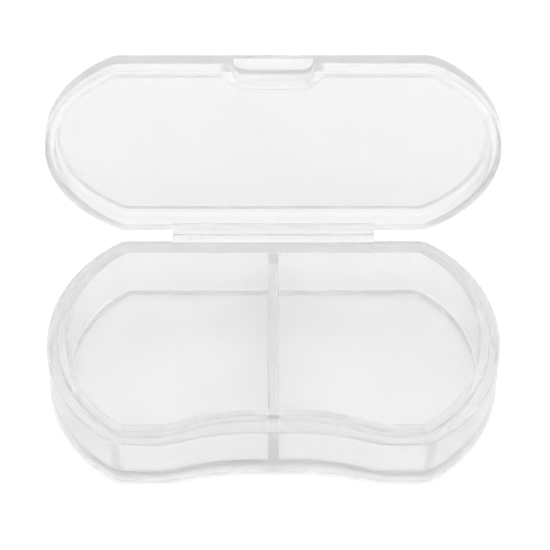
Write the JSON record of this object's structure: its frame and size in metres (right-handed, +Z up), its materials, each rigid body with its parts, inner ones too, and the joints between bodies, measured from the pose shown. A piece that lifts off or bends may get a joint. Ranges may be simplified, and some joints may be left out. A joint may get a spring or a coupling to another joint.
{
  "type": "pill case",
  "caption": "Flat pocket pill case of translucent plastic: a waisted tray parted by a low wall, under a lid on a living hinge, with a thumb recess in its front edge.",
  "frame": {"origin": "on the surface the case stands on, under the middle of the tray", "axes": "+X along the case, +Y from the front towards the hinge, +Z up out of the tray"},
  "size_m": [0.065, 0.0406, 0.047],
  "materials": {
    "frosted_plastic": "clear polypropylene, slightly frosted, moulded"
  },
  "bodies": {
    "tray": {"tray_floor": "frosted_plastic", "tray_wall": "frosted_plastic", "closure_lip": "frosted_plastic", "divider": "frosted_plastic", "catch_bead": "frosted_plastic", "tray_hinge_leaf": "frosted_plastic", "hinge_web": "frosted_plastic"},
    "lid": {"lid_panel": "frosted_plastic", "lid_skirt": "frosted_plastic", "lid_hinge_leaf": "frosted_plastic", "catch_nib": "frosted_plastic"}
  },
  "joints": [
    {"name": "lid_hinge", "type": "hinge", "parent": "tray", "child": "lid", "pos_m": [0, 0.019, 0.01], "axis": [-1, 0, 0], "range_deg": [-90, 90]}
  ]
}
